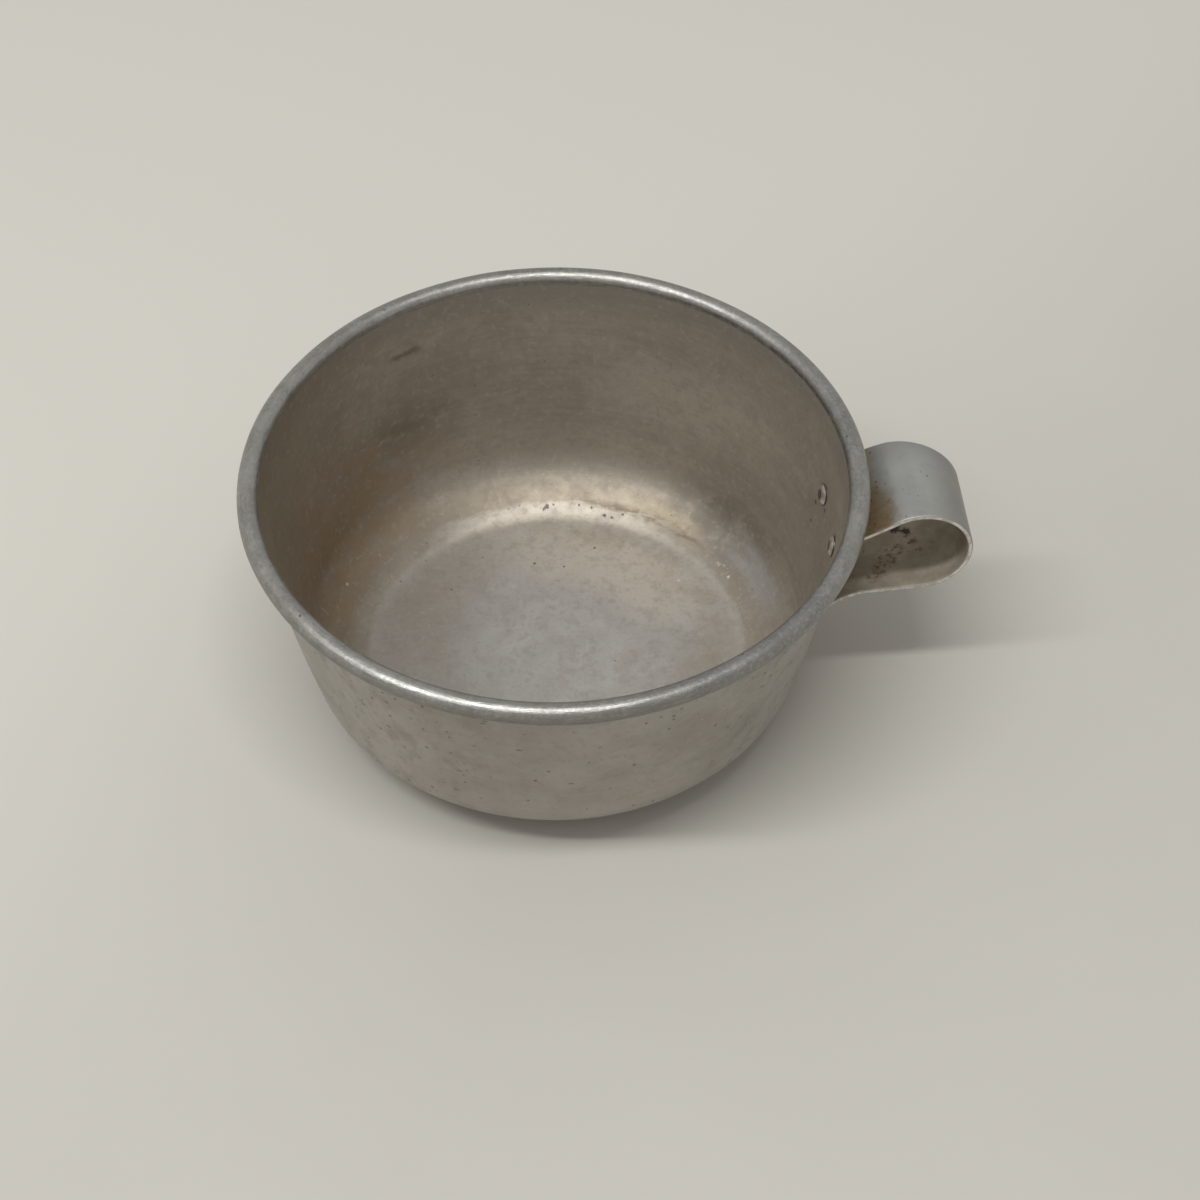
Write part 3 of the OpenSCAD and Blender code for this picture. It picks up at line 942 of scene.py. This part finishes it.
def turned(graph, profile, steps, labels):
    """A surface from a profile in x and z, turned about z, with the profile's attributes."""
    size = {"component": "MESH"}
    count = graph.node("GeometryNodeAttributeDomainSize", size, {"Geometry": profile}, "Point Count")
    cells = {"Size X": 1.0, "Size Y": 1.0, "Vertices X": count, "Vertices Y": steps + 1}
    grid = graph.node("GeometryNodeMeshGrid", inputs=cells)
    place = graph.node("GeometryNodeInputPosition")
    across, round_share, _ = graph.parts(place)
    row = graph.math("ROUND", (across + 0.5) * (count - 1))
    turn = (round_share + 0.5) * FULL_TURN

    def look_up(kind, value):
        values = {"Geometry": profile, "Value": value, "Index": row}
        return graph.node("GeometryNodeSampleIndex", {"data_type": kind, "domain": "POINT"}, values)

    for label in labels:
        kept = {"Geometry": grid, "Name": label, "Value": look_up("FLOAT", graph.carried(label))}
        storing = {"data_type": "FLOAT", "domain": "POINT"}
        grid = graph.node("GeometryNodeStoreNamedAttribute", storing, kept)
    radius, _, height = graph.parts(look_up("FLOAT_VECTOR", place))
    spot = graph.join(radius * graph.math("COSINE", turn), radius * graph.math("SINE", turn), height)
    closing = {"Geometry": graph.move(grid, "Position", spot), "Distance": MERGE_WITHIN}
    return graph.node("GeometryNodeMergeByDistance", inputs=closing)


def in_plane(points):
    """Section points as points in space, with y at 0."""
    return [(point.x, 0.0, point.y) for point in points]


print("turning tools ready")

# %% The bowl's tree, with its wear
SLOW_WAVES = 32 * MM
QUICK_WAVES = 9 * MM
QUICK_SHARE = 0.25
STIFF_HEIGHT = 3 * MM
LOOSE_HEIGHT = 16 * MM
HELD_BY_STRAP = 48 * MM
FREE_OF_STRAP = 30 * MM
DISH_EDGE = 5.5 * MM
DISH_MIDDLE = 1.5 * MM

turning, wires = new_tree(
    "turn_the_bowl", steps="Int", finish="Material", waviness="Float", dish="Float",
    rivet_a="Vector", rivet_b="Vector")
body = turned(turning, wires["Geometry"], wires["steps"], ("inside", "rim", "along"))
place = turning.node("GeometryNodeInputPosition")
x, y, z = turning.parts(place)
outwards = turning.vector("NORMALIZE", turning.join(x, y, 0.0))
slow = turning.noise(place, SLOW_WAVES, 1) - 0.5
quick = turning.noise(place, QUICK_WAVES, 1) - 0.5
loose = turning.ease(z, STIFF_HEIGHT, LOOSE_HEIGHT) * turning.ease(x, HELD_BY_STRAP, FREE_OF_STRAP)
push = (slow + QUICK_SHARE * quick) * loose * wires["waviness"]
within = turning.carried("inside")
for label in ("rivet_a", "rivet_b"):
    away = turning.vector("DISTANCE", place, wires[label], out="Value")
    push = push + turning.ease(away, DISH_EDGE, DISH_MIDDLE) * within * wires["dish"]
moved = turning.node("ShaderNodeVectorMath", {"operation": "SCALE"}, {0: outwards, "Scale": push})
end_tree(turning, turning.move(body, "Offset", moved), wires["finish"])
print("turning tree has", len(turning.tree.nodes), "nodes")

# %% Turn the bowl
STEPS_ROUND = 360
WAVINESS = 0.5 * MM
DISH_DEPTH = 0.25 * MM
RIVET_EDGE = 3.8 * MM
rivet_wall = wall_point(rivet_height)
rivet_turn = math.asin((STRAP_WIDTH / 2 - RIVET_EDGE) / rivet_wall.x)


def rivet_seat(side):
    """Where a rivet's axis meets the wall's outside, on either side of the handle's middle."""
    return (rivet_wall.x * math.cos(rivet_turn), side * rivet_wall.x * math.sin(rivet_turn), rivet_wall.y)


section_seed = seed_line("bowl_section", in_plane(section), inside=inside, rim=rim, along=along)
bowl = grow(
    "bowl_shell", section_seed, turning, steps=STEPS_ROUND, finish=bowl_finish(),
    waviness=WAVINESS, dish=DISH_DEPTH, rivet_a=rivet_seat(-1), rivet_b=rivet_seat(1))
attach(bowl, "root")
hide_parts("bowl")

# %% [markdown]
# ## Bending the strap
# A strip that follows a path is what Curve to Mesh is for: it carries a small outline along a curve.
# The outline is the strip's cross-section with its sheared edges slightly rounded. The path lies in
# one upright plane, so the outline never twists. Afterwards each point is pulled in round the bowl's
# axis by as much as its place on the path hugs the wall. The strip was cut by hand: its rear edge
# runs in towards the loop's end, so points are shifted by more the nearer they are to that edge.

# %% The bending tree
REAR_SHIFT = 2.2 * MM
REAR_TAPER = 0.26
TAPER_START = 64 * MM

bending, wires = new_tree("bend_the_strap", outline="Object", finish="Material")
curve = bending.node("GeometryNodeMeshToCurve", inputs={"Mesh": wires["Geometry"]})
held = bending.node("GeometryNodeObjectInfo", inputs={"Object": wires["outline"]}, out="Geometry")
ring = bending.node("GeometryNodeMeshToCurve", inputs={"Mesh": held})
sweep = {"Curve": curve, "Profile Curve": ring, "Fill Caps": True}
strip = bending.node("GeometryNodeCurveToMesh", inputs=sweep)
x, y, z = bending.parts(bending.node("GeometryNodeInputPosition"))
hug = bending.carried("hug")
share = bending.carried("share")
rear = (1 - hug) * (y / STRAP_WIDTH + 0.5)
y = y * share + rear * (REAR_SHIFT - REAR_TAPER * (x - TAPER_START))
x = x - hug * (x - bending.math("SQRT", x * x - y * y))
end_tree(bending, bending.move(strip, "Position", bending.join(x, y, z)), wires["finish"])
print("bending tree has", len(bending.tree.nodes), "nodes")

# %% Bend the strap
EDGE_ROUND = 0.3 * MM
outline = []
for turn, right, top in ((0, 1, 1), (1, -1, 1), (2, -1, -1), (3, 1, -1)):
    middle = Vector((right * (STRAP_WIDTH / 2 - EDGE_ROUND), top * (STRAP_SHEET / 2 - EDGE_ROUND)))
    corner = arc(middle, EDGE_ROUND, turn * QUARTER, (turn + 1) * QUARTER, steps=4)
    if turn % 2:
        outline += straight(outline[-1], corner[0], steps=24)[1:-1]
    outline += corner
outline += straight(outline[-1], outline[0], steps=2)[1:-1]
faces = [-p.y / (STRAP_SHEET / 2) for p in outline]
outline_line = seed_line("strap_outline", [(p.x, p.y, 0.0) for p in outline], True, face=faces)
outline_seed = add_object("strap_outline", outline_line)
path_seed = seed_line(
    "strap_path", in_plane([p for p, _, _ in path]),
    hug=[h for _, h, _ in path], share=[w for _, _, w in path])
strap = grow("handle_loop", path_seed, bending, outline=outline_seed, finish=strap_finish())
bpy.data.objects.remove(outline_seed)
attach(strap, "root")
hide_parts("handle_strap")

# %% [markdown]
# ## Setting the rivets
# The two rivets are the same. They could be modelled once and duplicated, but one tree that turns a
# rivet's section and stands a copy on each of two points keeps them alike when a size changes. Each
# copy leans with the wall, and swings round with its point.

# %% The riveting tree
riveting, wires = new_tree(
    "set_the_rivets", steps="Int", finish="Material", reach="Float", height="Float",
    spread="Float", lean="Float")
rivet = turned(riveting, wires["Geometry"], wires["steps"], ("radius",))
pair = riveting.node("GeometryNodeMeshLine", inputs={"Count": 2})
side = riveting.node("GeometryNodeInputIndex") * 2 - 1
swing = side * wires["spread"]
reach = wires["reach"]
spot = riveting.join(
    reach * riveting.math("COSINE", swing), reach * riveting.math("SINE", swing), wires["height"])
seats = riveting.move(pair, "Position", spot)
stance = riveting.node("FunctionNodeEulerToRotation", inputs={0: riveting.join(0.0, wires["lean"], swing)})
copies = {"Points": seats, "Instance": rivet, "Rotation": stance}
end_tree(riveting, riveting.node("GeometryNodeInstanceOnPoints", inputs=copies), wires["finish"])
print("riveting tree has", len(riveting.tree.nodes), "nodes")

# %% Set the rivets
RIVET_SHANK = 1.5 * MM
HEAD_RADIUS = 2.3 * MM
HEAD_HEIGHT = 0.9 * MM
END_RADIUS = 2.5 * MM
END_HEIGHT = 1.1 * MM
HEAD_GAP = 0.06 * MM
DIMPLE_RADIUS = 1.4 * MM
DIMPLE_DEPTH = 0.35 * MM
RIVET_STEPS = 48
head_level = -SHEET - HEAD_GAP
end_level = SEAT_GAP + STRAP_SHEET + HEAD_GAP


def dome(radius, height, level, way, steps=12):
    """Section of a low round cap that stands on a level, from its top to its edge."""
    ball = (height ** 2 + radius ** 2) / (2 * height)
    spread = math.asin(radius / ball)
    middle = Vector((0, level + way * (height - ball)))
    return [middle + ball * Vector((math.sin(spread * i / steps), way * math.cos(spread * i / steps)))
            for i in range(steps + 1)]


rivet_section = dome(END_RADIUS, END_HEIGHT, end_level, 1)
rivet_section += [Vector((RIVET_SHANK, end_level)), Vector((RIVET_SHANK, head_level))]
for point in dome(HEAD_RADIUS, HEAD_HEIGHT, head_level, -1, steps=20)[::-1]:
    sunk = max(0.0, 1 - (point.x / DIMPLE_RADIUS) ** 2) ** 2
    rivet_section.append(point + Vector((0, DIMPLE_DEPTH * sunk)))
rivet_seed = seed_line("rivet_section", in_plane(rivet_section), radius=[p.x for p in rivet_section])
rivets = grow(
    "rivet_pair", rivet_seed, riveting, steps=RIVET_STEPS, finish=rivet_finish(), reach=rivet_wall.x,
    height=rivet_height, spread=rivet_turn, lean=QUARTER + wall_slope(rivet_height))
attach(rivets, "root")
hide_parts("rivet_front", "rivet_rear")

# %% [markdown]
# ## Table and light
# The bowl stands on a pale table under one long ceiling lamp, in front of it and mostly to its left. A
# sun lamp would make every shadow edge equally sharp. A long, narrow area light gives the photograph's
# shadows, whose edges are sharp where they run along the lamp and soft where they run across it. The
# rest of the room is an even, dim world. Together they light the table at about 1, so that a colour
# comes out nearly as it is written.

# %% Table
TABLE_SIZE = 6.0
FAR_SLANT = 0.6


def table_finish():
    """A pale, slightly clouded table top, with painted light that makes it lighter to the far left."""
    finish = Finish("table_top", Roughness=0.6)
    cloud = finish.noise(finish.place, 60 * MM, 3)
    near = finish.blend(cloud, (0.565, 0.545, 0.495, 1), (0.6, 0.58, 0.53, 1))
    x, y, _ = finish.parts(finish.place)
    # Painted light: the top grows lighter towards the far left
    painted_light_far_left = finish.ease(y - FAR_SLANT * x, -80 * MM, 140 * MM)
    finish.set({"Base Color": finish.blend(painted_light_far_left, near, (0.68, 0.66, 0.6, 1))})
    return finish.material


table_mesh = bpy.data.meshes.new("table")
corners = [(sx * TABLE_SIZE / 2, sy * TABLE_SIZE / 2, 0) for sx, sy in ((-1, -1), (1, -1), (1, 1), (-1, 1))]
table_mesh.from_pydata(corners, [], [(0, 1, 2, 3)])
table_mesh.materials.append(table_finish())
table = add_object("table", table_mesh)
table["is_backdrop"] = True
print("table is", TABLE_SIZE, "m wide")

# %% Lamp and room
LAMP_MIDDLE = Vector((-0.45, -0.34, 1.5))
LAMP_LENGTH = 1.6
LAMP_WIDTH = 0.12
LAMP_POWER = 16
ROOM_LIGHT = 0.45
ROOM_COLOUR = (1.0, 0.98, 0.95, 1)

lamp_data = bpy.data.lights.new("ceiling_lamp", "AREA")
lamp_data.shape = "RECTANGLE"
lamp_data.size = LAMP_LENGTH
lamp_data.size_y = LAMP_WIDTH
lamp_data.energy = LAMP_POWER
lamp = add_object("ceiling_lamp", lamp_data)
lamp.location = LAMP_MIDDLE
room = bpy.data.worlds.new("room")
room.use_nodes = True
backdrop = room.node_tree.nodes["Background"]
backdrop.inputs["Color"].default_value = ROOM_COLOUR
backdrop.inputs["Strength"].default_value = ROOM_LIGHT
bpy.context.scene.world = room
bpy.context.scene.view_settings.view_transform = "Standard"
print("lamp is", LAMP_LENGTH, "m long and hangs", LAMP_MIDDLE.z, "m up")

# %% [markdown]
# ## Finish
# The last step compares the dressed bowl's box with the frame's box, and hands the scene over.

# %% Compare sizes and finish
boxes = {"cad": cad_box, "visual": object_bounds()}
for name, box in boxes.items():
    print(name, "box in mm:", [round(v / MM, 2) for corner in box for v in corner])
